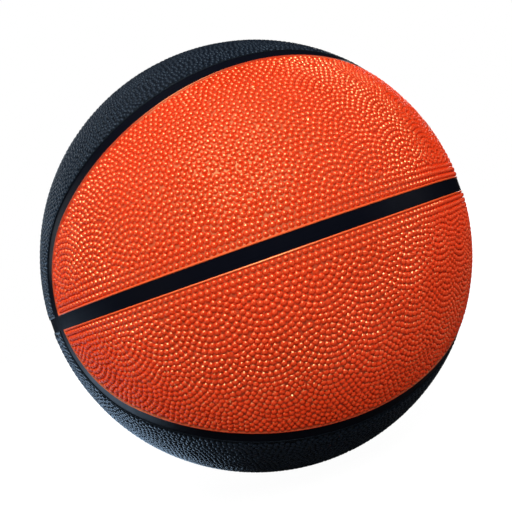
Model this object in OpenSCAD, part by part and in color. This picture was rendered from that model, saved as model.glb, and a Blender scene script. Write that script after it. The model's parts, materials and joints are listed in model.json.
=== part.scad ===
// A full-size laminated rubber ball: an airtight bladder wound with thread, a rubber carcass,
// seven black ribs and eight pebbled panels, and a self-sealing valve for the pump needle.
// The origin is the ball's centre. +Z is square to the equator rib, the two closed oval seams
// go round -Y (the front) and +Y (the back), and the meridian rib lies in the XZ plane.

/* [Ball] */
// Diameter over the tops of the pebbles
ball_d = 240; // [200:1:260]
// Height of the pebbles over the skin between them
pebble_h = 0.45; // [0.2:0.05:0.8]

/* [Cover] */
// Thickness of a panel, pebbles included
panel_t = 1.5; // [1.2:0.1:3]
// Width of the ribs between the panels
rib_w = 6.8; // [4:0.1:9]
// How far the ribs lie below the pebble tops
rib_sink = 0.6; // [0.2:0.05:0.9]
// Width of the rolled lip along a panel's edge
lip_w = 0.9; // [0.3:0.1:2]
// How far the lip falls towards the rib
lip_drop = 0.3; // [0.1:0.05:0.6]

/* [Seams] */
// Angle at the ball's centre from a loop's middle to its rib, along the equator
tip_angle = 77.4; // [74:0.1:79]
// The same angle square to the equator, where the loop is narrowest
waist_angle = 46.5; // [42:0.1:50]
// Angular radius of the round arcs at the loop's two ends
bend_angle = 30.8; // [27:0.1:34]

/* [Inner layers] */
// Thickness of the thread winding in its latex
winding_t = 0.5; // [0.3:0.1:1]
// Thickness of the carcass rubber over the winding
carcass_t = 0.5; // [0.3:0.1:1.5]
// Wall thickness of the bladder
bladder_t = 0.8; // [0.5:0.1:1.5]

/* [Valve] */
// Angle of the valve above the equator, on the back
valve_angle = 9; // [7:0.5:14]
// Diameter of the valve housing, and of the hole through every layer
housing_d = 6.4; // [5.8:0.1:8]
// How far the housing reaches into the ball from the bladder's inner face
housing_reach = 12; // [10:0.5:16]
// Diameter of the flange cemented to the bladder's inside
flange_d = 34; // [24:1:44]
// Thickness of that flange
flange_t = 1.2; // [0.8:0.1:2]
// Film of cement between the flange and the bladder
cement_t = 0.1; // [0.05:0.05:0.3]
// Wall of the boot at its root on the flange
boot_root_t = 2.4; // [1.6:0.1:3.5]
// Wall of the boot at its inner end
boot_tip_t = 1; // [0.6:0.1:1.5]
// Diameter of the plug's body
plug_d = 4.2; // [3.8:0.1:4.6]
// Diameter of the plug's head
plug_head_d = 5; // [4.7:0.1:5.4]
// Thickness of the plug's head
plug_head_t = 1.2; // [0.8:0.1:2]
// Diameter of the hole that guides the pump needle
needle_hole_d = 2.1; // [1.9:0.05:2.5]
// Depth of that hole, below its funnel, down to the rubber that closes behind the needle
needle_hole_depth = 8; // [6:0.5:9]
// Diameter of the funnel at the mouth of the needle hole
funnel_d = 3.4; // [2.8:0.1:4]
// Depth of the funnel
funnel_depth = 0.7; // [0.4:0.1:1]
// Diameter of the smooth land round the valve
land_d = 13; // [11:0.5:18]

/* [Hidden] */
$fn = 144;

// Radii of the layers' faces, from the outside in
ball_r = ball_d / 2;
rib_r = ball_r - rib_sink;
carcass_r = ball_r - panel_t;
winding_r = carcass_r - carcass_t;
bladder_r = winding_r - winding_t;
air_r = bladder_r - bladder_t;
skin_r = ball_r - pebble_h;
mid_r = (carcass_r + ball_r) / 2;

// A loop is two side arcs joined by two end bends, all of them circles on the ball. The bend's
// centre lies on the equator. The side arc's centre lies past the loop's middle, at the tilt
// where the arc runs into the bend with no corner.
bend_centre = tip_angle - bend_angle;
bend_room = waist_angle - bend_angle;
side_tilt = atan((cos(bend_room) - cos(bend_centre)) / sin(bend_room));
side_angle = waist_angle + side_tilt;
// Half the turn that each arc makes about its own centre
side_turn = atan(tan(bend_centre) / sin(side_tilt));
bend_turn = atan(tan(side_tilt) / sin(bend_centre));

// Flat steps that stand in for the side arc and for half of each end bend
side_steps = 52;
bend_steps = 14;

// One overrun serves every cut
overrun = ball_r / 50;
span = 2 * ball_r;
// How far the lip's slope reaches when it is carried on to the overrun
lip_reach = lip_w * (lip_drop + overrun) / lip_drop;

// Places along the valve's axis, from the ball's centre
housing_top = skin_r;
housing_end = air_r - housing_reach;
// The wall behind the plug is as thick as the plug's head
plug_end = housing_end + plug_head_t;

orange = [0.86, 0.28, 0.12];
black = [0.07, 0.08, 0.10];
butyl = [0.16, 0.16, 0.17];
thread = [0.86, 0.84, 0.78];
lining = [0.24, 0.24, 0.25];
amber = [0.62, 0.44, 0.22];

// Ring between two circles round the ball's centre, for a revolve
module ring_2d(inner, outer) {
    difference() {
        circle(r = outer);
        circle(r = inner);
    }
}

// Section of a rib round an axis, square to it
module rib_2d() {
    intersection() {
        ring_2d(carcass_r, rib_r);
        translate([0, -rib_w / 2]) square([ball_r, rib_w]);
    }
}

// Point of a section that stands on an arc of the ball, this turn from the arc's own middle:
// height is measured from the ball's centre, and aside away from the arc's centre
function on_arc(arc, turn, aside, height) =
    let (
        out = arc[1] * cos(turn) + arc[2] * sin(turn),
        angle = arc[3]
    )
    arc[0] * (height * cos(angle) - aside * sin(angle))
    + out * (height * sin(angle) + aside * cos(angle));

// The arcs of the upper half loop, in the loop's own frame with its middle on +Z: direction of
// the arc's centre, direction from there to the arc's middle, direction along it, and radius
side_arc = [
    [0, -sin(side_tilt), cos(side_tilt)],
    [0, cos(side_tilt), sin(side_tilt)],
    [1, 0, 0],
    side_angle
];
function bend_arc(way) = [
    [way * sin(bend_centre), 0, cos(bend_centre)],
    [way * cos(bend_centre), 0, -sin(bend_centre)],
    [0, 1, 0],
    bend_angle
];

// Stations round the half loop, from the equator on the left, over the side arc, to the right
stations = [
    for (i = [0:bend_steps - 1]) [bend_arc(-1), bend_turn * i / bend_steps],
    for (i = [0:side_steps]) [side_arc, side_turn * (2 * i / side_steps - 1)],
    for (i = [1:bend_steps]) [bend_arc(1), bend_turn * (1 - i / bend_steps)]
];

// Carries a closed section of points [aside, height] round the upper half of the front loop
module round_half_loop(section) {
    n = len(section);
    last = len(stations) - 1;
    function at(i, k) = i * n + k % n;
    rotate([90, 0, 0]) polyhedron(
        points = [for (s = stations) for (p = section) on_arc(s[0], s[1], p[0], p[1])],
        faces = [
            for (k = [1:n - 2]) [at(0, 0), at(0, k), at(0, k + 1)],
            for (k = [1:n - 2]) [at(last, 0), at(last, k + 1), at(last, k)],
            for (i = [0:last - 1]) for (k = [0:n - 1]) each [
                [at(i, k), at(i + 1, k + 1), at(i, k + 1)],
                [at(i, k), at(i + 1, k), at(i + 1, k + 1)]
            ]
        ]
    );
}

// The ball's inside of the upper half loop, by planes that run down the middle of its rib: the
// plane of the side arc, less the two corners outside the planes of the end bends
module half_loop_inside() {
    rotate([90, 0, 0]) difference() {
        rotate([side_tilt, 0, 0])
            translate([-span, -span, mid_r * cos(side_angle)]) cube(2 * span);
        for (way = [0, 1])
            mirror([way, 0, 0]) rotate([0, bend_centre, 0]) rotate(bend_turn)
                translate([-span, -span, mid_r * cos(bend_angle) - 2 * span])
                    cube([2 * span, span, 2 * span]);
    }
}

// All that lies above a rib in the XY plane, with the panel's lip along it
module above_rib() {
    rotate_extrude() polygon([
        [0, rib_w / 2],
        [ball_r - lip_drop, rib_w / 2],
        [ball_r + overrun, rib_w / 2 + lip_reach],
        [ball_r + overrun, span],
        [0, span]
    ]);
}

// Half space above the equator rib's upper wall
module above_wall() {
    translate([-span, -span, rib_w / 2]) cube([2 * span, 2 * span, span]);
}

module shell(inner, outer) {
    difference() {
        sphere(r = outer);
        sphere(r = inner);
    }
}

// Valve axis: +Z of the children points out of the ball there
module on_valve_axis() {
    rotate([valve_angle - 90, 0, 0]) children();
}

module valve_hole() {
    on_valve_axis() cylinder(d = housing_d, h = span);
}

module holed_shell(inner, outer) {
    difference() {
        shell(inner, outer);
        valve_hole();
    }
}

// Cuts the channel that the half loop's rib lies in, with the lips falling away on both sides.
// The section starts at a corner from which all its other corners are in sight.
module half_loop_channel() {
    round_half_loop([
        [rib_w / 2, ball_r - lip_drop],
        [rib_w / 2 + lip_reach, ball_r + overrun],
        [-rib_w / 2 - lip_reach, ball_r + overrun],
        [-rib_w / 2, ball_r - lip_drop],
        [-rib_w / 2, carcass_r - overrun],
        [rib_w / 2, carcass_r - overrun]
    ]);
}

module orange_cell() {
    difference() {
        intersection() {
            shell(carcass_r, ball_r);
            above_rib();
            half_loop_inside();
        }
        half_loop_channel();
    }
}

// What two ribs square to each other leave of the shell, less the loop and its rib
module black_cell() {
    difference() {
        intersection() {
            shell(carcass_r, ball_r);
            above_rib();
            rotate([90, 0, 0]) above_rib();
        }
        half_loop_inside();
        half_loop_channel();
    }
}

module half_loop_rib() {
    intersection() {
        shell(carcass_r, rib_r);
        above_wall();
        round_half_loop([
            [-rib_w / 2, carcass_r - overrun],
            [rib_w / 2, carcass_r - overrun],
            [rib_w / 2, ball_r + overrun],
            [-rib_w / 2, ball_r + overrun]
        ]);
    }
}

module ring_rib() {
    rotate_extrude() rib_2d();
}

module upper_meridian() {
    intersection() {
        rotate([90, 0, 0]) ring_rib();
        above_wall();
    }
}

module lower() {
    mirror([0, 0, 1]) children();
}

module back() {
    mirror([0, 1, 0]) children();
}

module bladder() {
    color(butyl) holed_shell(air_r, bladder_r);
}

module thread_winding() {
    color(thread) holed_shell(bladder_r, winding_r);
}

module carcass_rubber() {
    color(lining) holed_shell(winding_r, carcass_r);
}

// Disc cemented inside the bladder, with the tapered boot that holds the housing
module valve_flange() {
    flange_r = air_r - cement_t;
    root_r = flange_r - flange_t;
    color(butyl) on_valve_axis() rotate_extrude() difference() {
        union() {
            intersection() {
                ring_2d(root_r, flange_r);
                square([flange_d / 2, span]);
            }
            polygon([
                [0, housing_end],
                [housing_d / 2 + boot_tip_t, housing_end],
                [housing_d / 2 + boot_root_t, root_r],
                [0, root_r]
            ]);
        }
        square([housing_d / 2, span]);
    }
}

// Sleeve through every layer, stepped inside for the plug's head, with an air hole behind it
module valve_housing() {
    color(black) on_valve_axis() rotate_extrude() polygon([
        [needle_hole_d / 2, housing_end],
        [housing_d / 2, housing_end],
        [housing_d / 2, housing_top],
        [plug_head_d / 2, housing_top],
        [plug_head_d / 2, housing_top - plug_head_t],
        [plug_d / 2, housing_top - plug_head_t],
        [plug_d / 2, plug_end],
        [needle_hole_d / 2, plug_end]
    ]);
}

// Headed rubber core with the needle's funnel and guide hole, solid below them
module valve_plug() {
    hole_top = housing_top - funnel_depth;
    hole_end = hole_top - needle_hole_depth;
    color(amber) on_valve_axis() difference() {
        union() {
            translate([0, 0, plug_end]) cylinder(d = plug_d, h = housing_top - plug_end);
            translate([0, 0, housing_top - plug_head_t])
                cylinder(d = plug_head_d, h = plug_head_t);
        }
        translate([0, 0, hole_end]) cylinder(d = needle_hole_d, h = needle_hole_depth + overrun);
        translate([0, 0, hole_top]) cylinder(d1 = needle_hole_d, d2 = funnel_d, h = funnel_depth);
    }
}

module equator_rib() {
    color(black) ring_rib();
}

module meridian_rib_upper() {
    color(black) upper_meridian();
}

module meridian_rib_lower() {
    color(black) lower() upper_meridian();
}

module front_loop_rib_upper() {
    color(black) half_loop_rib();
}

module front_loop_rib_lower() {
    color(black) lower() half_loop_rib();
}

module back_loop_rib_upper() {
    color(black) back() half_loop_rib();
}

module back_loop_rib_lower() {
    color(black) lower() back() half_loop_rib();
}

module front_upper_orange_panel() {
    color(orange) orange_cell();
}

module front_lower_orange_panel() {
    color(orange) lower() orange_cell();
}

// The panel with the valve: the hole, and a smooth land sunk by the pebbles' height round it
module back_upper_orange_panel() {
    color(orange) difference() {
        back() orange_cell();
        valve_hole();
        intersection() {
            shell(skin_r, ball_r + overrun);
            on_valve_axis() cylinder(d = land_d, h = span);
        }
    }
}

module back_lower_orange_panel() {
    color(orange) lower() back() orange_cell();
}

module front_upper_black_panel() {
    color(black) black_cell();
}

module front_lower_black_panel() {
    color(black) lower() black_cell();
}

module back_upper_black_panel() {
    color(black) back() black_cell();
}

module back_lower_black_panel() {
    color(black) lower() back() black_cell();
}

bladder();
valve_flange();
valve_housing();
valve_plug();
thread_winding();
carcass_rubber();
equator_rib();
meridian_rib_upper();
meridian_rib_lower();
front_loop_rib_upper();
front_loop_rib_lower();
back_loop_rib_upper();
back_loop_rib_lower();
front_upper_orange_panel();
front_lower_orange_panel();
back_upper_orange_panel();
back_lower_orange_panel();
front_upper_black_panel();
front_lower_black_panel();
back_upper_black_panel();
back_lower_black_panel();
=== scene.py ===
"""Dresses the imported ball: pebbled rubber panels, sunken ribs, the valve, and a plain studio.

The ball's centre is the origin, +Z is square to the equator rib, and the oval seams go round -Y
(the front, which the camera sees) and +Y (the back, where the valve is). Lengths are in metres.
"""
import json
import math

import bpy
import numpy as np
from bpy.props import FloatProperty, FloatVectorProperty, IntProperty, PointerProperty
from mathutils import Matrix, Vector
from mathutils.geometry import delaunay_2d_cdt


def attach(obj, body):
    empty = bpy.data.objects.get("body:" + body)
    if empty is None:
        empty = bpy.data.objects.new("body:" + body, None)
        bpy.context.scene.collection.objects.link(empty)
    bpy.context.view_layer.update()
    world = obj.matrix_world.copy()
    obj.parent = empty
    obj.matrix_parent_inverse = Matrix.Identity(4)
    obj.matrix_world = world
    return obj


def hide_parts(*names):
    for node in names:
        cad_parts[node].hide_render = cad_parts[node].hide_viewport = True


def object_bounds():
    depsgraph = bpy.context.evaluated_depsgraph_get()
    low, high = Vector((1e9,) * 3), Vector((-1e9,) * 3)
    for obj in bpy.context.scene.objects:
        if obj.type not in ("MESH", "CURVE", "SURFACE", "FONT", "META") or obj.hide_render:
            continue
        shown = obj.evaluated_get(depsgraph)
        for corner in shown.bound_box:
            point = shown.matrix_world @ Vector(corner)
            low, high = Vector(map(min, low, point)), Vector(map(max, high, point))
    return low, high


bl_info = {
    "name": "Pebbled rubber ball",
    "version": (1, 0, 0),
    "blender": (4, 5, 0),
    "location": "View3D > Sidebar > Ball",
    "description": "Builds the cover, ribs and valve of a full-size rubber ball",
    "category": "Object",
}

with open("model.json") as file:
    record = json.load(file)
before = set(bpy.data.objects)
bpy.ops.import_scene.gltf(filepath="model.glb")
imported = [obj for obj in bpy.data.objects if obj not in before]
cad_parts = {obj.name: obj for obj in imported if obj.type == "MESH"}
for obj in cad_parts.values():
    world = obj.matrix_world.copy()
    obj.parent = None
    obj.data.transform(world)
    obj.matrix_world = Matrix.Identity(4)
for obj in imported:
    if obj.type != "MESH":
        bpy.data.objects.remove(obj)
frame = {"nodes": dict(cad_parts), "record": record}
CAD_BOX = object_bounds()
PORT = next(m for m in frame["record"]["mounts"] if m["name"] == "needle_port")
VALVE_AXIS = np.array(PORT["axis"], float)
MM = 1e-3


# Settings


class CoverSettings(bpy.types.PropertyGroup):
    """Sizes of the ribs, the seams and the panels' lips"""

    ball_radius: FloatProperty(
        name="Ball radius", description="Radius over the tops of the pebbles",
        default=0.12, min=0.1, max=0.13, unit="LENGTH", precision=5)
    rib_width: FloatProperty(
        name="Rib width", description="Width of the ribs between the panels",
        default=0.0068, min=0.004, max=0.009, unit="LENGTH", precision=5)
    rib_sink: FloatProperty(
        name="Rib sink", description="How far the ribs lie below the pebble tops",
        default=0.0006, min=0.0002, max=0.0009, unit="LENGTH", precision=5)
    panel_depth: FloatProperty(
        name="Panel depth", description="Thickness of a panel, pebbles included",
        default=0.00145, min=0.0012, max=0.003, unit="LENGTH", precision=5)
    tip_angle: FloatProperty(
        name="Tip angle", description="Angle from a loop's middle to its rib, along the equator",
        default=math.radians(77.4), subtype="ANGLE")
    waist_angle: FloatProperty(
        name="Waist angle", description="The same angle where the loop is narrowest",
        default=math.radians(46.5), subtype="ANGLE")
    bend_angle: FloatProperty(
        name="Bend angle", description="Angular radius of the arcs at the loop's ends",
        default=math.radians(30.8), subtype="ANGLE")


class PebbleSettings(bpy.types.PropertyGroup):
    """Size and layout of the pebbles"""

    pitch: FloatProperty(
        name="Pitch", description="Distance between the middles of neighbouring pebbles",
        default=0.00275, min=0.002, max=0.004, unit="LENGTH", precision=5)
    foot_radius: FloatProperty(
        name="Foot radius", description="Largest radius of a pebble where it leaves the skin",
        default=0.00143, min=0.0006, max=0.0016, unit="LENGTH", precision=5)
    groove: FloatProperty(
        name="Groove", description="Half the width of the groove left between two feet",
        default=0.00005, min=0.00002, max=0.0003, unit="LENGTH", precision=6)
    height: FloatProperty(
        name="Height", description="Height of a pebble over the skin",
        default=0.00095, min=0.0002, max=0.0012, unit="LENGTH", precision=5)
    first_row: FloatProperty(
        name="First row", description="Distance from the rib's wall to the first row of pebbles",
        default=0.00238, min=0.002, max=0.004, unit="LENGTH", precision=5)
    straight_rows: IntProperty(
        name="Straight rows", description="Rows that follow a rib before the fans begin",
        default=3, min=0, max=10)
    fan_reach: FloatProperty(
        name="Fan reach", description="Radius of a fan of curved rows",
        default=0.024, min=0.008, max=0.08, unit="LENGTH", precision=4)
    settle_steps: IntProperty(
        name="Settling steps", description="How often neighbours push each other apart",
        default=15, min=4, max=200)
    seed: IntProperty(
        name="Seed", description="Starts the random numbers of the layout", default=5)


class ValveSettings(bpy.types.PropertyGroup):
    """Sizes of the valve's sleeve and plug"""

    sleeve_radius: FloatProperty(
        name="Sleeve radius", description="Radius of the sleeve that passes through every layer",
        default=0.0032, min=0.0028, max=0.004, unit="LENGTH", precision=5)
    sleeve_length: FloatProperty(
        name="Sleeve length", description="From the land to the sleeve's end in the air space",
        default=0.01427, min=0.012, max=0.02, unit="LENGTH", precision=5)
    head_radius: FloatProperty(
        name="Head radius", description="Radius of the plug's head",
        default=0.0025, min=0.0023, max=0.0027, unit="LENGTH", precision=5)
    head_depth: FloatProperty(
        name="Head depth", description="Thickness of the plug's head",
        default=0.0012, min=0.0008, max=0.002, unit="LENGTH", precision=5)
    stem_radius: FloatProperty(
        name="Stem radius", description="Radius of the plug under its head",
        default=0.0021, min=0.0019, max=0.0023, unit="LENGTH", precision=5)
    funnel_radius: FloatProperty(
        name="Funnel radius", description="Radius of the funnel that guides the needle",
        default=0.0017, min=0.0012, max=0.002, unit="LENGTH", precision=5)
    land_radius: FloatProperty(
        name="Land radius", description="Radius of the smooth land round the valve",
        default=0.0065, min=0.0045, max=0.009, unit="LENGTH", precision=5)


class FinishSettings(bpy.types.PropertyGroup):
    """Colours of the rubbers, with painted shade between the pebbles and a painted highlight on the
    orange lips
    """

    orange: FloatVectorProperty(
        name="Orange", description="Orange rubber of the panels", subtype="COLOR",
        size=3, min=0, max=1, default=(0.80, 0.040, 0.005))
    # painted shade: the darker orange laid on the skin between the pebbles, their feet, the lips
    # and the valve's land
    orange_painted_shade: FloatVectorProperty(
        name="Orange, low", description="Orange rubber between the pebbles", subtype="COLOR",
        size=3, min=0, max=1, default=(0.54, 0.019, 0.003))
    # painted highlight: the paler orange of the lips and walls beside the equator rib
    orange_lip_highlight: FloatVectorProperty(
        name="Orange, lip", description="Orange rubber of the lips beside the ribs",
        subtype="COLOR", size=3, min=0, max=1, default=(0.92, 0.11, 0.025))
    black: FloatVectorProperty(
        name="Black", description="Black rubber of the panels", subtype="COLOR",
        size=3, min=0, max=1, default=(0.006, 0.010, 0.018))
    # painted shade: the darker black laid between the pebbles, on their feet and on the lips, those
    # beside the equator rib too
    black_painted_shade: FloatVectorProperty(
        name="Black, low", description="Black rubber between the pebbles", subtype="COLOR",
        size=3, min=0, max=1, default=(0.001, 0.0015, 0.003))
    rib: FloatVectorProperty(
        name="Rib", description="Smooth rubber of the ribs", subtype="COLOR",
        size=3, min=0, max=1, default=(0.002, 0.0025, 0.0055))


class StageSettings(bpy.types.PropertyGroup):
    """Camera and light"""

    camera_distance: FloatProperty(
        name="Camera distance", description="From the ball's centre to the camera",
        default=0.36, min=0.2, max=5, unit="LENGTH")
    lens: FloatProperty(
        name="Lens", description="Focal length on a sensor 36 mm wide, in millimetres",
        default=43.1, min=20, max=200)
    light_level: FloatProperty(
        name="Light level", description="Factor on the power of every lamp",
        default=1.0, min=0, max=10)


# Seams


class Seams:
    """The ball's seam lines, in the frame of the upper front panels (y below 0, z above 0).

    A loop's rib runs on circles of the ball. Its side arc has its centre below the loop's middle,
    and an end bend has its centre on the equator. A point of a circle is the centre's direction
    times the cosine of the circle's angle, plus the way out from it times the sine.
    """

    def __init__(self, cover):
        self.r = cover.ball_radius
        self.half = cover.rib_width / 2
        tip, waist, bend = cover.tip_angle, cover.waist_angle, cover.bend_angle
        centre, room = tip - bend, waist - bend
        tilt = math.atan((math.cos(room) - math.cos(centre)) / math.sin(room))
        self.side_angle, self.bend_angle = waist + tilt, bend
        self.side_turn = math.atan(math.tan(centre) / math.sin(tilt))
        self.bend_turn = math.atan(math.tan(tilt) / math.sin(centre))
        self.side = np.array([0, -math.cos(tilt), -math.sin(tilt)])
        self.side_mid = np.array([0, -math.sin(tilt), math.cos(tilt)])
        self.bend = np.array([math.sin(centre), -math.cos(centre), 0])
        self.bend_mid = np.array([math.cos(centre), math.sin(centre), 0])

    def aside(self, p):
        """Distance of directions p from the loop's centre line, positive outside the loop."""
        q = p.copy()
        q[:, 0] = np.abs(q[:, 0])
        by_side = np.arccos(np.clip(q @ self.side, -1, 1)) - self.side_angle
        by_bend = np.arccos(np.clip(q @ self.bend, -1, 1)) - self.bend_angle
        at_end = q @ np.cross(self.side, self.bend) < 0
        return self.r * np.sin(np.where(at_end, by_bend, by_side))

    def inset(self, p, orange):
        """Distance of directions p from the nearest rib's wall, positive inside the panel."""
        walls = [p[:, 2] * self.r - self.half]
        if orange:
            walls.append(-self.aside(p) - self.half)
        else:
            walls += [self.aside(p) - self.half, -p[:, 1] * self.r - self.half]
        return np.min(walls, axis=0)

    @staticmethod
    def on_circle(centre, mid, along, angle, turns):
        """Directions on a circle of the ball, these turns round its centre from its middle."""
        out = np.cos(turns)[:, None] * mid + np.sin(turns)[:, None] * along
        return centre * math.cos(angle) + out * math.sin(angle)

    def loop_line(self, aside, radius, counts, rise):
        """The upper half loop from right to left, this far aside, on this radius of the ball. It
        starts and ends this far above the equator's plane."""
        x, z = np.array([1.0, 0, 0]), np.array([0, 0, 1.0])
        right, left = [1, 1, 1], [-1, 1, 1]
        delta = math.asin(aside / radius)
        bend, side = self.bend_angle + delta, self.side_angle + delta
        first = math.asin(min(rise / (radius * math.sin(bend)), 1))
        t = [np.linspace(0, 1, n, endpoint=False) for n in counts]

        def end_bend(mirror, turns):
            return self.on_circle(self.bend * mirror, self.bend_mid * mirror, z, bend, turns)

        line = np.vstack([
            end_bend(right, first + (self.bend_turn - first) * t[0]),
            self.on_circle(self.side, self.side_mid, x, side, self.side_turn * (1 - 2 * t[1])),
            end_bend(left, self.bend_turn + (first - self.bend_turn) * t[2]),
        ])
        return line * radius, end_bend(left, np.array([first]))[0] * radius

    def edge_loop(self, orange, depth, radius, counts):
        """Closed line round a panel, this deep inside its walls and this high, going left over
        the loop, along the equator, and for a black panel back over the meridian rib."""
        w = self.half + depth
        line, end = self.loop_line(-w if orange else w, radius, counts[:3], w)
        flat = math.sqrt(radius**2 - w**2)
        t = [np.linspace(0, 1, n, endpoint=False)[:, None] for n in counts[3:]]

        def equator(a, b, u):
            lon = a + (b - a) * u
            return np.hstack([flat * np.cos(lon), flat * np.sin(lon), np.full_like(lon, w)])

        def meridian(a, b, u):
            lat = a + (b - a) * u
            return np.hstack([flat * np.cos(lat), np.full_like(lat, -w), flat * np.sin(lat)])

        at_end, at_start = (math.atan2(p[1], p[0]) for p in (end, line[0]))
        if orange:
            return np.vstack([line, equator(at_end, at_start, t[0])])
        corner = math.asin(w / flat)
        return np.vstack([
            line,
            equator(at_end, corner - math.pi, t[0]),
            meridian(math.pi - corner, corner, t[1]),
            equator(-corner, at_start, t[2]),
        ])


# Layout of the pebbles


# Number of tiers of fans, a tier's distance from the last as a share of the fan reach, and how
# far a fan strays from its even place, as a share of the way to the next one
FAN_TIERS = 6
TIER_STEP = 0.87
FAN_STRAY = 0.05
# Fans begin this far above the last straight row. This and the next ones are in pitches.
FANS_START = 0.55
# A pebble may start this far over the first row's line, because it is moved back
OVER_LINE = 0.42
# Of two pebbles closer than this one is dropped, before and after the gaps are filled
TOO_CLOSE = 0.66
TOO_CLOSE_FILLED = 0.70
# A gap is filled if the pebbles round its heart are no nearer and no further than this
GAP_FROM, GAP_TO = 0.76, 2
# Pebbles further apart than this are no neighbours
NEAR = 2
# Neighbours closer than this push each other apart, and each moves by this share of the way
SETTLED = 0.97
PUSH = 0.2
# Step over which the slope of the room to the rib is measured, in metres
SLOPE_STEP = 2e-6


def unit(v):
    """Vectors brought to a length of one."""
    return v / np.linalg.norm(v, axis=-1, keepdims=True)


def flat_map(p, middle):
    """Stereographic map of directions p round a middle direction. It keeps circles, so nearest
    neighbours on the map are nearest neighbours on the ball."""
    x = np.array([1.0, 0, 0])
    y = np.cross(middle, x)
    k = 2 / (1 + p @ middle)
    return np.stack([k * (p @ x), k * (p @ y)], 1)


def triangulate(points, middle, loops=()):
    """Delaunay triangles of directions on the ball, kept to closed loops of point numbers."""
    q = flat_map(points, middle)
    edges = [e for loop in loops for e in zip(loop, np.roll(loop, -1).tolist())]
    got = delaunay_2d_cdt([Vector(v) for v in q.tolist()], edges, [], 1 if edges else 0, 1e-9)
    origin = np.array([ids[0] for ids in got[3]])
    return origin[np.array(got[2])]


def beside_rib(turn, lift, orange):
    """Directions this far round the rib that a panel's rows follow, and this far up from it: the
    equator rib for an orange panel, and the meridian rib for a black one."""
    flat, near = np.cos(lift), np.sin(lift) + np.zeros(len(turn))
    far = flat * np.sin(turn)
    back, up = (far, near) if orange else (near, far)
    return np.stack([flat * np.cos(turn), -back, up], 1)


def fan_centres(seams, pebbles, orange, rng):
    """Directions of the fans' centres and each one's tier. The first tier stands along the rib
    that the panel's rows follow, and each later one is staggered and nearly a reach further."""
    r, reach = seams.r, pebbles.fan_reach
    first = (seams.half + pebbles.first_row + pebbles.straight_rows * pebbles.pitch) / r
    centres, tiers = [], []
    for tier in range(FAN_TIERS):
        lift = first + tier * TIER_STEP * reach / r
        n = round(math.pi * r * math.cos(lift) / reach)
        turn = (np.arange(n + 1) - 0.5 * (tier % 2)) * math.pi / n
        turn = turn + rng.normal(0, FAN_STRAY, n + 1) * math.pi / n
        lift = lift + rng.normal(0, FAN_STRAY, n + 1) * reach / r
        centres.append(beside_rib(turn, lift, orange))
        tiers.append(np.full(n + 1, tier))
    return np.vstack(centres), np.concatenate(tiers)


def fan_rows(seams, pebbles, orange):
    """Directions on curved rows, as a ball's mould is cut: some rows run along a rib, and from
    there overlapping fans of rings spread over the panel. A ring is evenly filled. A point stays
    where its fan is the nearest one of the first tier that reaches it."""
    rng = np.random.default_rng(pebbles.seed + orange)
    r, pitch = seams.r, pebbles.pitch
    centres, tiers = fan_centres(seams, pebbles, orange, rng)
    start = seams.half + pebbles.first_row
    rows = []
    for k in range(pebbles.straight_rows):
        lift = (start + k * pitch) / r
        around = r * math.cos(lift)
        turn = (np.arange(int(math.pi * around / pitch)) + rng.random()) * pitch / around
        rows.append(beside_rib(turn, lift, orange))
    fans = []
    for number, (centre, tier) in enumerate(zip(centres, tiers)):
        for k in range(int(pebbles.fan_reach / pitch) + 1):
            angle = k * pitch / r
            n = max(1, round(2 * math.pi * r * math.sin(angle) / pitch))
            p = ring_of(centre, angle, n, rng.random() * 2 * math.pi)[0]
            away = r * np.arccos(np.clip(p @ centres.T, -1, 1))
            # a metre for a fan out of reach, and 0.1 m for a tier, outweigh any distance in reach
            best = np.argmin(away + np.where(away < pebbles.fan_reach, 0, 1) + tiers * 0.1, 1)
            fans.append(p[best == number])
    fans = np.vstack(fans)
    high = fans[:, 2] if orange else -fans[:, 1]
    edge = start + (pebbles.straight_rows - 1 + FANS_START) * pitch
    return np.vstack([*rows, fans[r * np.arcsin(np.clip(high, -1, 1)) > edge]])


def edges_of(p, middle, longest):
    """Pairs of neighbouring directions whose chord is shorter than this, and the triangles."""
    tri = triangulate(p, middle)
    e = np.vstack([tri[:, [0, 1]], tri[:, [1, 2]], tri[:, [2, 0]]])
    e = np.unique(np.sort(e, 1), axis=0)
    return e[np.linalg.norm(p[e[:, 0]] - p[e[:, 1]], axis=1) < longest], tri


def thin_out(p, middle, least):
    """Drops the later one of any two directions closer than least. Dropping some makes others
    neighbours, so it is done three times."""
    for _ in range(3):
        e, _tri = edges_of(p, middle, least)
        keep = np.ones(len(p), bool)
        keep[np.setdiff1d(e[:, 1], e[:, 0])] = False
        p = p[keep]
    return p


def fill_gaps(p, middle, r, pitch, room):
    """Adds a direction in the heart of each gap. The heart of a triangle is the direction square
    to its plane, and it lies in a gap where all three corners are far from it."""
    _e, tri = edges_of(p, middle, 1)
    corner = p[tri]
    heart = unit(np.cross(corner[:, 1] - corner[:, 0], corner[:, 2] - corner[:, 0]))
    heart *= np.sign((heart * corner[:, 0]).sum(1))[:, None]
    wide = np.linalg.norm(heart - corner[:, 0], axis=1) * r
    more = heart[(wide > GAP_FROM * pitch) & (wide < GAP_TO * pitch)]
    return np.vstack([p, more[room(more) > 0]])


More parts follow.
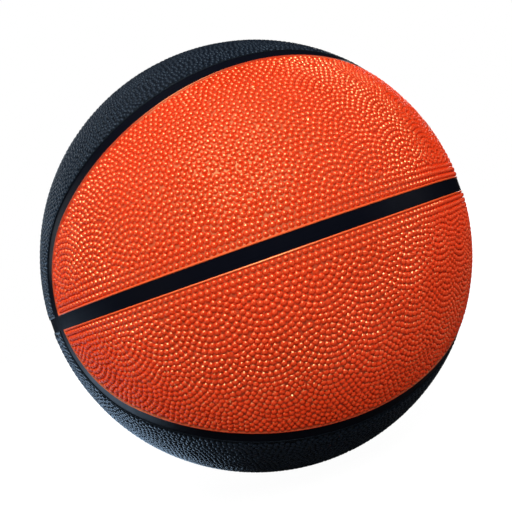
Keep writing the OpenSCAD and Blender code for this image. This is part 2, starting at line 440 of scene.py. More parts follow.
def settle(p, middle, r, pitch, room, steps):
    """Pushes neighbours apart, and brings those back that have less than no room: down the slope
    of the room, by the room over the slope's square. Every third step finds the neighbours anew."""
    step = SLOPE_STEP / r
    for i in range(steps):
        if i % 3 == 0:
            e, _tri = edges_of(p, middle, NEAR * pitch / r)
        way = p[e[:, 0]] - p[e[:, 1]]
        gap = np.linalg.norm(way, axis=1)
        push = way * (PUSH * np.maximum(SETTLED * pitch / r / gap - 1, 0))[:, None]
        move = np.stack([np.bincount(e[:, 0], push[:, k], len(p))
                         - np.bincount(e[:, 1], push[:, k], len(p)) for k in range(3)], 1)
        p = unit(p + move)
        s = room(p)
        out = np.flatnonzero(s < 0)
        q = p[out]
        slope = np.stack([(room(unit(q + d)) - s[out]) / step for d in np.eye(3) * step], 1)
        p[out] -= (s[out] / np.maximum((slope**2).sum(1), 1e-12))[:, None] * slope
        p = unit(p)
    return p


def lay_out(seams, pebbles, orange, middle, land=None):
    """Middles of a panel's pebbles, as directions. They start on the fans' rows, doubles are
    dropped and gaps filled, and they settle. A pebble's room is its distance from the first row's
    line, or from the land, given as an axis and a radius."""
    r, pitch = seams.r, pebbles.pitch

    def room(q):
        s = seams.inset(q, orange) - pebbles.first_row
        if land is not None:
            s = np.minimum(s, r * np.arccos(np.clip(q @ land[0], -1, 1)) - land[1])
        return s

    p = fan_rows(seams, pebbles, orange)
    p = p[(p[:, 1] < 0) & (p[:, 2] > 0)]
    p = p[room(p) > -OVER_LINE * pitch]
    p = thin_out(p, middle, TOO_CLOSE * pitch / r)
    for _ in range(2):
        p = fill_gaps(p, middle, r, pitch, room)
        p = thin_out(p, middle, TOO_CLOSE_FILLED * pitch / r)
    return settle(p, middle, r, pitch, room, pebbles.settle_steps)


# Meshes


def outward(verts, tris):
    """Triangles of a closed mesh, turned to face outwards where its volume comes out negative."""
    a, b, c = (verts[tris[:, k]] for k in range(3))
    return tris if (a * np.cross(b, c)).sum() > 0 else tris[:, ::-1]


def grid_tris(rows, columns, closed_rows=False, closed_columns=False):
    """Triangles over a grid of points that is numbered row by row."""
    i = np.arange(rows if closed_rows else rows - 1)[:, None]
    j = np.arange(columns if closed_columns else columns - 1)
    at = [(i + di) % rows * columns + (j + dj) % columns for di, dj in
          ((0, 0), (0, 1), (1, 1), (1, 0))]
    a, b, c, d = (v.ravel() for v in np.broadcast_arrays(*at))
    return np.vstack([np.stack([a, b, c], 1), np.stack([a, c, d], 1)])


def softened(profile, radius, steps=4):
    """Closed profile whose corners are rounded: a corner P between points A and B, each this far
    along its own side, becomes the curve (1-t)(1-t) A + 2 t (1-t) P + t t B."""
    p = np.asarray(profile, float)
    before, after = np.roll(p, 1, 0) - p, np.roll(p, -1, 0) - p
    sides = [v * np.minimum(radius / np.linalg.norm(v, axis=1), 0.45)[:, None]
             for v in (before, after)]
    a, b = p + sides[0], p + sides[1]
    t = np.linspace(0, 1, steps)[None, :, None]
    curve = (1 - t)**2 * a[:, None] + 2 * t * (1 - t) * p[:, None] + t**2 * b[:, None]
    return curve.reshape(-1, 2)


def revolved(profile, axis, steps):
    """Closed profile of (distance from the axis, height along it), carried round the axis."""
    x = unit(np.cross(axis, [1.0, 0, 0]))
    y = np.cross(axis, x)
    turn = 2 * math.pi * np.arange(steps) / steps
    way = np.cos(turn)[:, None] * x + np.sin(turn)[:, None] * y
    verts = profile[:, 0][:, None, None] * way + profile[:, 1][:, None, None] * axis
    tris = grid_tris(len(profile), steps, True, True)
    # a point on the axis comes once in every step, so equal points become one
    verts, number = np.unique(verts.reshape(-1, 3).round(9), axis=0, return_inverse=True)
    tris = number.reshape(-1)[tris]
    whole = (tris[:, 0] != tris[:, 1]) & (tris[:, 1] != tris[:, 2]) & (tris[:, 2] != tris[:, 0])
    used, number = np.unique(tris[whole], return_inverse=True)
    return verts[used], outward(verts[used], number.reshape(-1, 3))


def add_piece(name, verts, tris, material, slot, replaced, marks=None, sharp=None):
    """Makes a mesh piece that rides on the ball and stands for CAD nodes. Marks are named
    numbers on its points, for its material."""
    mesh = bpy.data.meshes.new(name)
    mesh.vertices.add(len(verts))
    mesh.vertices.foreach_set("co", np.asarray(verts, np.float32).ravel())
    mesh.loops.add(tris.size)
    mesh.loops.foreach_set("vertex_index", np.asarray(tris, np.int32).ravel())
    mesh.polygons.add(len(tris))
    mesh.polygons.foreach_set("loop_start", np.arange(0, tris.size, 3, dtype=np.int32))
    mesh.update(calc_edges=True)
    mesh.validate()
    mesh.shade_smooth()
    if sharp:
        mesh.set_sharp_from_angle(angle=sharp)
    for key, values in (marks or {}).items():
        mesh.attributes.new(key, "FLOAT", "POINT").data.foreach_set(
            "value", np.asarray(values, np.float32))
    mesh.materials.append(material)
    piece = bpy.data.objects.new(name, mesh)
    bpy.context.scene.collection.objects.link(piece)
    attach(piece, "root")
    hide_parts(*replaced)


def strip(a, b, closed=True):
    """Triangles between two rows of point numbers of one length, facing out where row b lies to
    the left of row a."""
    c, d = np.roll(a, -1), np.roll(b, -1)
    tris = np.vstack([np.stack([a, c, d], 1), np.stack([a, d, b], 1)])
    if closed:
        return tris
    keep = np.tile(np.arange(len(a)) < len(a) - 1, 2)
    return tris[keep]


# How a panel's skin rises to the lip and falls to its foot in the rib's channel: distance inside
# the rib's wall in millimetres, and depth under the pebble tops as a share of a pebble's height.
LIP = [(1.10, 1.0), (0.93, 0.88), (0.76, 0.42), (0.52, 0.24), (0.24, 0.30), (0.06, 0.55), (0, 1.1)]
# Distance of the points along a panel's edge, and rough lengths of the edge's stretches: right
# bend, side and left bend of the loop, then the equator's and the meridian's stretches
EDGE_STEP = 0.0011
ORANGE_STRETCHES = [0.046, 0.300, 0.046, 0.320]
BLACK_STRETCHES = [0.060, 0.300, 0.060, 0.02, 0.37, 0.02]
# Points on a pebble's rings, and each ring's share of the foot radius
RINGS = [(7, 0.40), (12, 0.74), (14, 1.0)]
# Pebbles differ from each other: the least share of the full height and of the foot radius, how
# much more a foot may have, the share of pebbles that came out low, and their share of the height
LEAST_HEIGHT = 0.95
LEAST_FOOT, MORE_FOOT = 0.97, 0.06
FAINT, FAINT_HEIGHT = 0.006, 0.55
# A foot takes this share of the room to the lip. A neighbour doesn't hold it back where the turn
# away from that neighbour has a smaller cosine than this.
LIP_SHARE = 0.97
LEAST_COSINE = 0.3
# One point of the inner face's net for this many pebbles
NET_STEP = 12
# Depth of the valve's land under the skin, width of its edges, and depth of the hole's rounded
# edge under the skin, in metres
LAND_SINK = 8e-5
LAND_EDGE = 3e-4
HOLE_SINK = 2.5e-4
# Depth of the funnel that leads the needle into its hole, in metres
FUNNEL_DEPTH = 7e-4
# Marks on a panel's points: 0 to 1 from the skin to a pebble's top, and these
LAND_MARK, WALL_MARK = -0.5, -1.0
# Half turns that bring an upper front piece to its other places
TURN = {
    "front_upper": np.diag([1.0, 1, 1]),
    "front_lower": np.diag([-1.0, 1, -1]),
    "back_upper": np.diag([-1.0, -1, 1]),
    "back_lower": np.diag([1.0, -1, -1]),
}
# A direction near the middle of the upper front panels, orange or not
MIDDLE = {
    True: np.array([0, -math.cos(math.radians(20)), math.sin(math.radians(20))]),
    False: np.array([0, -math.sin(math.radians(25)), math.cos(math.radians(25))]),
}


# A direction that no pebble lies in, so a ring's first point can be worked out from it
ANY_WAY = [0.31, 0.2, 0.93]


def ring_of(axis, angle, n, turn=0.0):
    """Directions of a ring at an angle round an axis. Axis, angle and turn may be arrays."""
    axis = np.atleast_2d(axis)
    x = unit(np.cross(axis, ANY_WAY))
    y = np.cross(axis, x)
    a = np.atleast_1d(turn)[:, None] + 2 * math.pi * np.arange(n) / n
    angle = np.atleast_1d(angle)
    angle = angle[..., None] if angle.ndim == 2 else angle[:, None, None]
    way = np.cos(a)[..., None] * x[:, None] + np.sin(a)[..., None] * y[:, None]
    return axis[:, None] * np.cos(angle) + way * np.sin(angle)


def pebble_rings(seams, pebbles, orange, centres, skin):
    """Directions, radii and marks of the points on the pebbles: the tops and the rings. A ring's
    height over the skin is the root of (1 - s s) of the pebble's height, where s is the ring's
    share of the foot. A foot reaches up to the groove halfway to each neighbour, which is the room
    over the cosine of the turn away from that neighbour. The rings grow rounder to the top."""
    r, count = seams.r, len(centres)
    e, _tri = edges_of(centres, MIDDLE[orange], NEAR * pebbles.pitch / r)
    e = np.vstack([e, e[:, ::-1]])
    across = centres[e[:, 1]] - centres[e[:, 0]]
    gap = np.linalg.norm(across, axis=1)
    across /= gap[:, None]
    room = gap * r / 2 - pebbles.groove
    rng = np.random.default_rng(pebbles.seed + 20)
    widest = pebbles.foot_radius * (LEAST_FOOT + MORE_FOOT * rng.random(count))
    widest = np.minimum(widest, (seams.inset(centres, orange) - LIP[0][0] * MM) * LIP_SHARE)
    tall = pebbles.height * (LEAST_HEIGHT + (1 - LEAST_HEIGHT) * rng.random(count))
    tall[rng.random(count) < FAINT] *= FAINT_HEIGHT

    def foot(n, turn):
        way = ring_of(centres, math.pi / 2, n, turn)[e[:, 0]]
        reach = room[:, None] / np.maximum((way * across[:, None]).sum(2), LEAST_COSINE)
        radius = np.repeat(widest[:, None], n, 1)
        np.minimum.at(radius, e[:, 0], reach)
        return radius

    spin = rng.random(count) * 2 * math.pi
    ways, highs, marks = [centres], [skin + tall], [np.ones(count)]
    for n, share in RINGS:
        part = math.sqrt(1 - share**2)
        radius = foot(n, spin + n)
        radius += (radius.mean(1, keepdims=True) - radius) * (1 - share)
        ways.append(ring_of(centres, radius * share / r, n, spin + n).reshape(-1, 3))
        highs.append(np.repeat(skin + tall * part, n))
        marks.append(np.full(count * n, part))
    return ways, highs, marks


def panel_mesh(cover, pebbles, orange, valve=None):
    """Points, triangles and marks of an upper front panel, with the valve's land where a valve is
    given. The pebbles' rings, the lip's first line and the land's rings are joined by a Delaunay
    mesh on the ball. The lip's lines lead over the lip and down the wall to the inner face, a
    coarse Delaunay mesh on the carcass. A round wall joins the land to it."""
    seams = Seams(cover)
    r, middle = seams.r, MIDDLE[orange]
    skin, inner = r - pebbles.height, r - cover.panel_depth
    axis = TURN["back_upper"] @ VALVE_AXIS if valve else None
    land = (axis, valve.land_radius + pebbles.foot_radius) if valve else None
    centres = lay_out(seams, pebbles, orange, middle, land)
    ways, highs, marks = pebble_rings(seams, pebbles, orange, centres, skin)

    stretches = ORANGE_STRETCHES if orange else BLACK_STRETCHES
    counts = [max(4, int(length / EDGE_STEP)) for length in stretches]
    levels = [(d * MM, r - share * pebbles.height) for d, share in LIP] + [(0.0, inner)]
    rims = [seams.edge_loop(orange, d, h, counts) for d, h in levels]
    if (np.cross(rims[0], np.roll(rims[0], -1, 0)) @ middle).sum() < 0:
        rims = [rim[::-1] for rim in rims]
    size = len(rims[0])
    first_rim = sum(map(len, ways)) + np.arange(size)
    ways.append(unit(rims[0]))
    highs.append(np.full(size, skin))
    marks.append(np.zeros(size))
    loops, hole = [first_rim.tolist()], np.array([], int)
    if valve:
        hole_radius, land_radius = valve.sleeve_radius, valve.land_radius
        # radius, points and depth under the skin of the land's rings, from its edge to the hole
        for radius, n, low in ((land_radius, 72, 0), (land_radius - LAND_EDGE, 72, LAND_SINK),
                               ((land_radius + hole_radius) / 2, 56, LAND_SINK),
                               (hole_radius + LAND_EDGE, 48, LAND_SINK),
                               (hole_radius, 48, HOLE_SINK)):
            hole = sum(map(len, ways)) + np.arange(n)
            ways.append(ring_of(axis, radius / r, n)[0])
            highs.append(np.full(n, skin - low))
            marks.append(np.full(n, LAND_MARK))
        loops.append(hole.tolist())
    way = np.vstack(ways)
    tris = triangulate(way, middle, loops)
    verts, faces = [way * np.concatenate(highs)[:, None]], [tris[~np.isin(tris, hole).all(1)]]
    rows, total = [first_rim], len(way)
    for rim in rims[1:]:
        rows.append(total + np.arange(size))
        verts.append(rim)
        total += size
    faces += [strip(b, a) for a, b in zip(rows, rows[1:])]

    # the inner face: the wall's last line, a net of points and the foot of the hole's wall
    base, net = unit(rims[-1]), centres[::NET_STEP]
    foot = ring_of(axis, hole_radius / r, len(hole))[0] if valve else net[:0]
    under = np.vstack([base, net, foot])
    ring = size + len(net) + np.arange(len(foot))
    loops = [list(range(size)), ring.tolist()] if valve else [list(range(size))]
    under_tris = triangulate(under, middle, loops)
    under_tris = under_tris[~np.isin(under_tris, ring).all(1)]
    number = np.concatenate([rows[-1], total + np.arange(len(under) - size)])
    if valve:
        faces.append(strip(hole, number[ring]))
    faces.append(number[under_tris][:, ::-1])
    verts.append(under[size:] * inner)
    verts, faces = np.vstack(verts), np.vstack(faces)
    marks.append(np.full(len(verts) - len(way), WALL_MARK))
    return verts, outward(verts, faces), np.concatenate(marks)


# Points across a rib's top, and how far its middle is hollow, in metres
RIB_STEPS = 17
RIB_HOLLOW = 4e-5
# Points along the equator rib, and along a half loop's bend, side and bend
RING_STEPS = 480
LOOP_STEPS = (70, 160, 70)


def rib_mesh(cover, line, closed):
    """Points, triangles and marks of a rib: line(aside, radius) gives the rib's run at a distance
    from its middle, and the section's top and bottom rows are carried along it. The top is hollow
    by (1 - u u) of its middle's depth, where u goes from -1 to 1 across. The mark is u."""
    u = np.linspace(-1, 1, RIB_STEPS)
    half = cover.rib_width / 2
    top = cover.ball_radius - cover.rib_sink - RIB_HOLLOW * (1 - u**2)
    bottom = np.full(RIB_STEPS, cover.ball_radius - cover.panel_depth)
    across, level = np.concatenate([u, u[::-1]]), np.concatenate([top, bottom[::-1]])
    rows = [line(w, radius) for w, radius in zip(across * half, level)]
    verts, n = np.vstack(rows), len(rows[0])
    faces = [grid_tris(len(rows), n, True, closed)]
    if not closed:
        for end in (0, n - 1):
            cap = np.arange(len(rows)) * n + end
            a, b = cap[:RIB_STEPS], cap[RIB_STEPS:][::-1]
            sheet = strip(a, b, False)
            faces.append(sheet[:, ::-1] if end else sheet)
    faces = np.vstack(faces)
    return verts, outward(verts, faces), np.repeat(across, n)


def ring_line(aside, radius, steps, square_to_z, rise=None):
    """Circle of the ball this far beside a plane through its centre: the equator's, square to Z,
    or the upper half of the meridian's, square to Y, as far down as the equator rib's wall."""
    flat = math.sqrt(radius**2 - aside**2)
    if square_to_z:
        turn = 2 * math.pi * np.arange(steps) / steps
        return np.stack([flat * np.cos(turn), flat * np.sin(turn), np.full(steps, aside)], 1)
    low = math.asin(rise / flat)
    turn = np.linspace(low, math.pi - low, steps)
    return np.stack([flat * np.cos(turn), np.full(steps, aside), flat * np.sin(turn)], 1)


# Materials


def new_material(name):
    """A new material, its node tree and its shader."""
    material = bpy.data.materials.new(name)
    material.use_nodes = True
    tree = material.node_tree
    return material, tree, tree.nodes["Principled BSDF"]


def feed(tree, value, socket):
    """Links a socket to another socket, or sets it to a plain value."""
    if isinstance(value, bpy.types.NodeSocket):
        tree.links.new(value, socket)
    elif value is not None:
        socket.default_value = value


def own_place(tree):
    """Place of a point in the object's own coordinates."""
    return tree.nodes.new("ShaderNodeTexCoord").outputs["Object"]


def noise(tree, scale, detail=2.0, where=None):
    """Noise with this many features per metre, in the object's own coordinates or others."""
    node = tree.nodes.new("ShaderNodeTexNoise")
    node.inputs["Scale"].default_value = scale
    node.inputs["Detail"].default_value = detail
    feed(tree, where or own_place(tree), node.inputs["Vector"])
    return node.outputs["Fac"]


def remap(tree, value, low, high, to_low, to_high):
    """Value carried from the range low to high to another range, and held at its ends."""
    node = tree.nodes.new("ShaderNodeMapRange")
    for key, v in zip(("From Min", "From Max", "To Min", "To Max"), (low, high, to_low, to_high)):
        node.inputs[key].default_value = v
    feed(tree, value, node.inputs["Value"])
    return node.outputs["Result"]


def blend(tree, factor, a, b):
    """Mix of two colours. Either may be a socket."""
    node = tree.nodes.new("ShaderNodeMix")
    node.data_type = "RGBA"
    feed(tree, factor, node.inputs["Factor"])
    for socket, colour in ((node.inputs[6], a), (node.inputs[7], b)):
        feed(tree, (*colour, 1) if isinstance(colour, tuple) else colour, socket)
    return node.outputs[2]


def grain(tree, shader, value, distance, strength):
    """Lets a value raise the surface by up to this distance, in metres."""
    bump = tree.nodes.new("ShaderNodeBump")
    bump.inputs["Distance"].default_value = distance
    bump.inputs["Strength"].default_value = strength
    feed(tree, value, bump.inputs["Height"])
    feed(tree, bump.outputs["Normal"], shader.inputs["Normal"])


def math_node(tree, operation, a, b=None):
    """Result of one operation on one or two numbers."""
    node = tree.nodes.new("ShaderNodeMath")
    node.operation = operation
    for socket, value in zip(node.inputs, (a, b)):
        feed(tree, value, socket)
    return node.outputs[0]


def vector_node(tree, operation, a, b=None):
    """Result of one operation on one or two vectors: a number for a length or a dot product."""
    node = tree.nodes.new("ShaderNodeVectorMath")
    node.operation = operation
    for socket, value in zip(node.inputs, (a, b)):
        feed(tree, value, socket)
    return node.outputs["Value" if operation in ("LENGTH", "DOT_PRODUCT") else "Vector"]


def attribute(tree, name):
    """A piece's mark on its points."""
    node = tree.nodes.new("ShaderNodeAttribute")
    node.attribute_name = name
    return node.outputs["Fac"]


def pebbled_rubber(name, colours, rough, gloss, tint):
    """Moulded rubber. The colours are the pebbles', a darker one painted as shade on the low skin
    between them, and a third painted on the lips beside the equator rib: a highlight for the
    orange, shade for the black. The roughnesses are the skin's, a pebble's flank's, its top's,
    which wears first, and the lip's. The gloss gives how far the rubber turns away from the eye
    where it begins and ends to change, and its level before and after. Patches a few centimetres
    wide vary the tone,"""
    material, tree, shader = new_material(name)
    mark = attribute(tree, "pebble")
    patches = remap(tree, noise(tree, 26, 3), 0.35, 0.65, 0, 1)
    paler = tuple(min(1, c * 1.10 + 0.003) for c in colours[0])
    tone = blend(tree, patches, colours[0], paler)
    # painted shade: the skin, the pebbles' feet, the lips and the land take the darker colour
    shaded_skin_and_pebbles = blend(tree, remap(tree, mark, 0.0, 0.3, 0, 1), colours[1], tone)
    # painted highlight on the orange lips and painted shade on the black ones, beside the equator
    # rib only, within 5 mm of its plane
    parts = tree.nodes.new("ShaderNodeSeparateXYZ")
    feed(tree, own_place(tree), parts.inputs[0])
    near = remap(tree, math_node(tree, "ABSOLUTE", parts.outputs["Z"]), 0.005, 0.006, 1, 0)
    on_lip = remap(tree, mark, LAND_MARK, WALL_MARK, 0, 1)
    lip_highlight_and_shade = math_node(tree, "MULTIPLY", on_lip, near)
    feed(tree, blend(tree, lip_highlight_and_shade, shaded_skin_and_pebbles, colours[2]), shader.inputs["Base Color"])

    level = remap(tree, mark, 0.0, 0.25, rough[0], rough[1])
    worn = remap(tree, mark, 0.88, 1.0, 0, rough[2] - rough[1])
    lip = remap(tree, mark, LAND_MARK, WALL_MARK, 0, rough[3] - rough[0])
    vary = remap(tree, noise(tree, 420, 3), 0.3, 0.7, -0.03, 0.03)
    for part in (worn, lip, vary):
        level = math_node(tree, "ADD", level, part)
    feed(tree, level, shader.inputs["Roughness"])
    facing = tree.nodes.new("ShaderNodeLayerWeight")
    facing.inputs["Blend"].default_value = 0.5
    feed(tree, remap(tree, facing.outputs["Facing"], *gloss), shader.inputs["Specular IOR Level"])
    shader.inputs["Specular Tint"].default_value = (*tint, 1)
    shader.inputs["IOR"].default_value = 1.7
    grain(tree, shader, noise(tree, 3200, 2), 2e-5, 0.4)
    return material


def smooth_rubber(name, colour, rough, scale=2200, depth=1.2e-5):
    """Plain moulded rubber with a fine grain, of this scale and depth, and patches of bloom."""
    material, tree, shader = new_material(name)
    patches = remap(tree, noise(tree, 45, 4), 0.35, 0.65, 0, 1)
    paler = tuple(c * 1.35 + 0.002 for c in colour)
    feed(tree, blend(tree, patches, colour, paler), shader.inputs["Base Color"])
    feed(tree, remap(tree, noise(tree, 160, 5), 0.3, 0.7, rough - 0.05, rough + 0.06),
         shader.inputs["Roughness"])
    grain(tree, shader, noise(tree, scale, 3), depth, 0.5)
    return material


def rib_rubber(colour):
    """Smooth rubber of the ribs, with the fine lines that the mould leaves along them. The lines
    are noise drawn out along the rib: it moves fast with the mark across the rib."""
    material, tree, shader = new_material("rib_rubber")
    slow = vector_node(tree, "MULTIPLY", own_place(tree), (12, 12, 12))
    fast = tree.nodes.new("ShaderNodeCombineXYZ")
    feed(tree, math_node(tree, "MULTIPLY", attribute(tree, "across"), 22), fast.inputs[0])
    lines = noise(tree, 1, where=vector_node(tree, "ADD", slow, fast.outputs[0]))
    paler = tuple(c * 1.5 + 0.0015 for c in colour)
    feed(tree, blend(tree, remap(tree, lines, 0.35, 0.7, 0, 1), colour, paler),
         shader.inputs["Base Color"])
    feed(tree, remap(tree, noise(tree, 120, 5), 0.3, 0.7, 0.30, 0.42), shader.inputs["Roughness"])
    shader.inputs["Specular IOR Level"].default_value = 0.025
    shader.inputs["Specular Tint"].default_value = (0.75, 0.85, 1, 1)
    grain(tree, shader, lines, 1.5e-5, 0.5)
    return material


def wound_thread():
    """Latex-dipped nylon thread, wound in every direction: three sets of fine ridges cross."""
    material, tree, shader = new_material("latex_thread")
    where = own_place(tree)
    ridges = []
    for turn in ((0.4, 0.2, 0), (1.3, 0.5, 0.9), (0.2, 1.2, 2.0)):
        mapping = tree.nodes.new("ShaderNodeMapping")
        mapping.inputs["Rotation"].default_value = turn
        feed(tree, where, mapping.inputs["Vector"])
        wave = tree.nodes.new("ShaderNodeTexWave")
        wave.bands_direction = "Z"
        wave.inputs["Scale"].default_value = 420
        wave.inputs["Distortion"].default_value = 1.5
        wave.inputs["Detail"].default_value = 1
        feed(tree, mapping.outputs[0], wave.inputs["Vector"])
        ridges.append(wave.outputs["Fac"])
    top = math_node(tree, "MAXIMUM", math_node(tree, "MAXIMUM", *ridges[:2]), ridges[2])
    colour = blend(tree, top, (0.30, 0.25, 0.17), (0.66, 0.60, 0.47))
    feed(tree, colour, shader.inputs["Base Color"])
    feed(tree, remap(tree, top, 0, 1, 0.75, 0.5), shader.inputs["Roughness"])
    grain(tree, shader, top, 2e-4, 0.8)
    return material


def floor_paper():
    """White paper that takes the ball's shadow. The camera sees it glow, paler with the distance
    from the ball. Gloss sees it dark, a painted dark reflection, but for one bluish strip behind
    the ball's left side that glows only for gloss: a painted reflection on the ball's lower left."""
    material, tree, shader = new_material("floor_paper")
    shader.inputs["Roughness"].default_value = 0.9
    path = tree.nodes.new("ShaderNodeLightPath")
    camera_ray, gloss_ray = path.outputs["Is Camera Ray"], path.outputs["Is Glossy Ray"]
    where = own_place(tree)
    far = remap(tree, vector_node(tree, "LENGTH", where), 0.14, 0.6, 0.78, 1.0)
    aim = vector_node(tree, "NORMALIZE", vector_node(tree, "MULTIPLY", where, (1, 1, 0)))
    towards = vector_node(tree, "DOT_PRODUCT", aim, (-0.85, 0.53, 0))
    # painted reflection: a bluish strip that glows, at strength 3.5, only in the ball's gloss
    glowing_strip = remap(tree, towards, 0.88, 0.95, 0, 1)
    share = math_node(tree, "ADD", math_node(tree, "MULTIPLY", far, camera_ray),
                      math_node(tree, "MULTIPLY", glowing_strip, gloss_ray))
    glow = tree.nodes.new("ShaderNodeEmission")
    feed(tree, remap(tree, camera_ray, 0, 1, 3.5, 1.25), glow.inputs["Strength"])
    feed(tree, blend(tree, camera_ray, (0.55, 0.75, 1.0), (1, 1, 1)), glow.inputs["Color"])
    # painted dark reflection: the paper is 0.28 grey to light but 0.05 to gloss
    paper = blend(tree, gloss_ray, (0.28, 0.28, 0.28), (0.05, 0.05, 0.05))
    feed(tree, paper, shader.inputs["Base Color"])
    mix = tree.nodes.new("ShaderNodeMixShader")
    for value, socket in zip((share, shader.outputs[0], glow.outputs[0]), mix.inputs):
        feed(tree, value, socket)
    feed(tree, mix.outputs[0], tree.nodes["Material Output"].inputs["Surface"])
    return material


def studio_world():
    """World that the camera sees white, and that lights the ball only faintly."""
    world = bpy.data.worlds.new("studio")
    world.use_nodes = True
    tree = world.node_tree
    faint = tree.nodes["Background"]
    faint.inputs["Color"].default_value = (0.93, 0.96, 1.0, 1)
    faint.inputs["Strength"].default_value = 0.02
    white = tree.nodes.new("ShaderNodeBackground")
    white.inputs["Color"].default_value = (1, 1, 1, 1)
    path = tree.nodes.new("ShaderNodeLightPath")
    mix = tree.nodes.new("ShaderNodeMixShader")
    sources = (path.outputs["Is Camera Ray"], faint.outputs[0], white.outputs[0])
    for value, socket in zip(sources, mix.inputs):
        feed(tree, value, socket)
    feed(tree, mix.outputs[0], tree.nodes["World Output"].inputs["Surface"])
    return world


# Pieces and stage


class BALL_OT_panels(bpy.types.Operator):
    """Build the eight pebbled panels, two layouts turned to their four places each"""

    bl_idname = "ball.panels"
    bl_label = "Pebbled panels"

    def execute(self, context):
        scene = context.scene
        cover, pebbles, finish = scene.ball_cover, scene.ball_pebbles, scene.ball_finish
        # the darker colours are painted shade, and the orange lips' paler colour a painted
        # highlight
        oranges = finish.orange, finish.orange_painted_shade, finish.orange_lip_highlight
        blacks = finish.black, finish.black_painted_shade, finish.black_painted_shade
        orange = pebbled_rubber(
            "orange_rubber", [tuple(c) for c in oranges],
            rough=(0.55, 0.22, 0.26, 0.40), gloss=(0.25, 0.50, 1.0, 0.04), tint=(1.0, 0.85, 0.36))
        black = pebbled_rubber(
            "black_rubber", [tuple(c) for c in blacks],
            rough=(0.35, 0.36, 0.36, 0.60), gloss=(0.35, 0.75, 0.10, 0.45), tint=(0.55, 0.78, 1.0))
        for is_orange, material in ((True, orange), (False, black)):
            plain = panel_mesh(cover, pebbles, is_orange)
            colour = "orange" if is_orange else "black"
            for place, turn in TURN.items():
                made = plain
                if is_orange and place == "back_upper":
                    made = panel_mesh(cover, pebbles, True, scene.ball_valve)
                verts, faces, mark = made
                node = f"{place}_{colour}_panel"
                add_piece(f"{place}_{colour}_pebbled_panel", verts @ turn.T, faces, material,
                          f"{colour}_rubber", [node], {"pebble": mark}, math.radians(45))
        return {"FINISHED"}


class BALL_OT_ribs(bpy.types.Operator):
    """Build the seven smooth ribs: a ring, and the half rings and loops that end at its walls"""

    bl_idname = "ball.ribs"
    bl_label = "Ribs"

    def execute(self, context):
        cover = context.scene.ball_cover
        material = rib_rubber(tuple(context.scene.ball_finish.rib))
        seams = Seams(cover)
        half = seams.half

        def loop(aside, radius):
            line, end = seams.loop_line(aside, radius, LOOP_STEPS, half)
            return np.vstack([line, end])

        runs = {
            "equator": (lambda w, r: ring_line(w, r, RING_STEPS, True), True, ["front_upper"]),
            "meridian": (lambda w, r: ring_line(w, r, RING_STEPS // 2, False, half), False,
                         ["front_upper", "front_lower"]),
            "loop": (loop, False, list(TURN)),
        }
        for run, (line, closed, places) in runs.items():
            verts, faces, across = rib_mesh(cover, line, closed)
            for place in places:
                side, level = place.split("_")
                node = {"equator": "equator_rib", "meridian": f"meridian_rib_{level}",
                        "loop": f"{side}_loop_rib_{level}"}[run]
                add_piece(f"{node}_strip", verts @ TURN[place].T, faces, material, "rib_rubber",
                          [node], {"across": across}, math.radians(40))
        return {"FINISHED"}


class BALL_OT_valve(bpy.types.Operator):
    """Build the valve's sleeve and the plug with its needle hole"""

    bl_idname = "ball.valve"
    bl_label = "Valve"

    def execute(self, context):
        cover, pebbles, valve = (context.scene.ball_cover, context.scene.ball_pebbles,
                                 context.scene.ball_valve)
        top = cover.ball_radius - pebbles.height - LAND_SINK
        head, head_depth, stem = valve.head_radius, valve.head_depth, valve.stem_radius
        bore, bore_length = PORT["dims"]["r_mm"] * MM, PORT["dims"]["length_mm"] * MM
        sleeve_low = top - valve.sleeve_length
        plug_low = sleeve_low + head_depth
        sleeve = softened([
            (valve.sleeve_radius, sleeve_low), (valve.sleeve_radius, top), (head, top),
            (head, top - head_depth), (stem, top - head_depth), (stem, plug_low),
            (bore, plug_low), (bore, sleeve_low)], 2.5e-4)
        # the plug is a hair thinner than the hole in the sleeve, and its head stands proud
        free = 1e-5
        hole_low = top - FUNNEL_DEPTH - bore_length
        plug = softened([
            (0, plug_low), (stem - free, plug_low), (stem - free, top - head_depth),
            (head - free, top - head_depth + free), (head - free, top + 5e-5),
            (valve.funnel_radius, top + 1e-4), (bore, top - FUNNEL_DEPTH), (bore, hole_low),
            (0, hole_low)], 2e-4)
        # rounding moved the corners on the axis away from it, so the plug is closed there again
        plug[plug[:, 0] < 5e-5, 0] = 0
        black = smooth_rubber("valve_rubber", (0.012, 0.012, 0.014), 0.42)
        brown = smooth_rubber("plug_rubber", (0.045, 0.022, 0.012), 0.5)
        for name, profile, material, slot, node in (
                ("valve_sleeve", sleeve, black, "valve_rubber", "valve_housing"),
                ("valve_core", plug, brown, "plug_rubber", "valve_plug")):
            add_piece(name, *revolved(profile, VALVE_AXIS, 64), material, slot, [node],
                      sharp=math.radians(50))
        return {"FINISHED"}


class BALL_OT_inner_layers(bpy.types.Operator):
    """Give the bladder, its disc, the winding and the carcass their rubbers and thread"""

    bl_idname = "ball.inner_layers"
    bl_label = "Inner layers"

    def execute(self, context):
        butyl = smooth_rubber("butyl_rubber", (0.018, 0.018, 0.02), 0.55, 900, 4e-5)
        lining = smooth_rubber("lining_rubber", (0.035, 0.034, 0.034), 0.7, 700, 6e-5)
        layers = {"bladder": butyl, "valve_flange": butyl, "thread_winding": wound_thread(),
                  "carcass_rubber": lining}
        for node, material in layers.items():
            for slot in frame["nodes"][node].material_slots:
                slot.material = material
        return {"FINISHED"}


# The way from the ball's centre to the camera and the picture's top, from the photograph
TO_CAMERA = (-0.3521, -0.9359, -0.0094)
PICTURE_TOP = (0.3071, -0.1250, 0.9434)
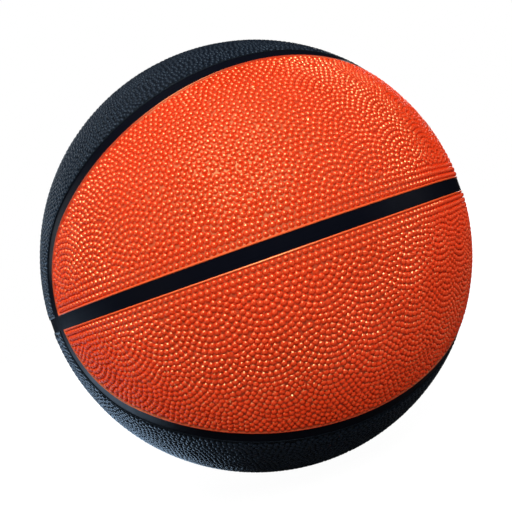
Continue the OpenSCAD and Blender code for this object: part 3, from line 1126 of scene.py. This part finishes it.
# Each lamp's way from the ball, as shares of the picture's right, its top and the way to the
# camera, and then its distance and width in metres, its power in watts and its colour
LAMPS = {
    "key": ((-0.10, 0.57, 0.82), 1.3, 0.42, 12, (1, 1, 1)),
    "top": ((-0.42, 0.80, 0.43), 1.3, 1.25, 7.8, (1, 1, 1)),
    "side": ((0.85, 0.35, 0.20), 1.4, 0.8, 3, (1, 1, 1)),
    "fill": ((-0.75, -0.05, 0.65), 1.3, 0.6, 2, (1.0, 0.85, 0.70)),
    "back": ((0.25, 0.30, -0.92), 1.6, 0.8, 14, (1, 1, 1)),
    "left": ((-0.75, 0.20, -0.63), 1.5, 0.8, 2.5, (0.80, 0.90, 1.0)),
}
# Half the floor's side, and its distance under the ball, in metres
FLOOR_HALF = 6.0
FLOOR_GAP = 2e-4


class BALL_OT_stage(bpy.types.Operator):
    """Set up the floor, the lamps, the world and the camera"""

    bl_idname = "ball.stage"
    bl_label = "Stage"

    def execute(self, context):
        scene = context.scene
        stage = scene.ball_stage
        scene.view_settings.view_transform = "Standard"
        back = Vector(TO_CAMERA).normalized()
        right = Vector(PICTURE_TOP).cross(back).normalized()
        up = back.cross(right)

        data = bpy.data.cameras.new("camera")
        data.sensor_width = 36
        data.lens = stage.lens
        data.clip_start, data.clip_end = 0.01, 50
        camera = bpy.data.objects.new("camera", data)
        turn = Matrix((right, up, back)).transposed().to_4x4()
        camera.matrix_world = Matrix.Translation(back * stage.camera_distance) @ turn
        scene.collection.objects.link(camera)
        scene.camera = camera

        for name, ((x, y, z), distance, width, power, colour) in LAMPS.items():
            light = bpy.data.lights.new(name, "AREA")
            light.shape = "DISK"
            light.size = width
            light.energy = power * stage.light_level
            light.color = colour
            lamp = bpy.data.objects.new(name, light)
            way = (right * x + up * y + back * z).normalized()
            aim = way.to_track_quat("Z", "Y").to_matrix().to_4x4()
            lamp.matrix_world = Matrix.Translation(way * distance) @ aim
            lamp.visible_camera = False
            scene.collection.objects.link(lamp)

        mesh = bpy.data.meshes.new("floor")
        side, z = FLOOR_HALF, float(CAD_BOX[0].z) - FLOOR_GAP
        mesh.from_pydata([(-side, -side, z), (side, -side, z), (side, side, z), (-side, side, z)],
                         [], [(0, 1, 2, 3)])
        mesh.materials.append(floor_paper())
        floor = bpy.data.objects.new("floor", mesh)
        scene.collection.objects.link(floor)
        scene.world = studio_world()
        return {"FINISHED"}


class BALL_PT_sidebar(bpy.types.Panel):
    """Lists the ball's pieces and their settings"""

    bl_idname = "BALL_PT_sidebar"
    bl_label = "Rubber ball"
    bl_space_type = "VIEW_3D"
    bl_region_type = "UI"
    bl_category = "Ball"

    def draw(self, context):
        layout = self.layout
        for group in GROUPS:
            box = layout.box()
            data = getattr(context.scene, group)
            for key in type(data).__annotations__:
                box.prop(data, key)
        for operator in OPERATORS:
            layout.operator(operator.bl_idname)


GROUPS = {
    "ball_cover": CoverSettings,
    "ball_pebbles": PebbleSettings,
    "ball_valve": ValveSettings,
    "ball_finish": FinishSettings,
    "ball_stage": StageSettings,
}
OPERATORS = (BALL_OT_panels, BALL_OT_ribs, BALL_OT_valve, BALL_OT_inner_layers, BALL_OT_stage)
CLASSES = (*GROUPS.values(), *OPERATORS, BALL_PT_sidebar)


def register():
    for cls in CLASSES:
        bpy.utils.register_class(cls)
    for name, group in GROUPS.items():
        setattr(bpy.types.Scene, name, PointerProperty(type=group))


def unregister():
    for name in GROUPS:
        delattr(bpy.types.Scene, name)
    for cls in reversed(CLASSES):
        bpy.utils.unregister_class(cls)


def main():
    """Builds the ball and its stage."""
    register()
    bpy.ops.ball.panels()
    bpy.ops.ball.ribs()
    bpy.ops.ball.valve()
    bpy.ops.ball.inner_layers()
    bpy.ops.ball.stage()


if __name__ == "__main__":
    main()
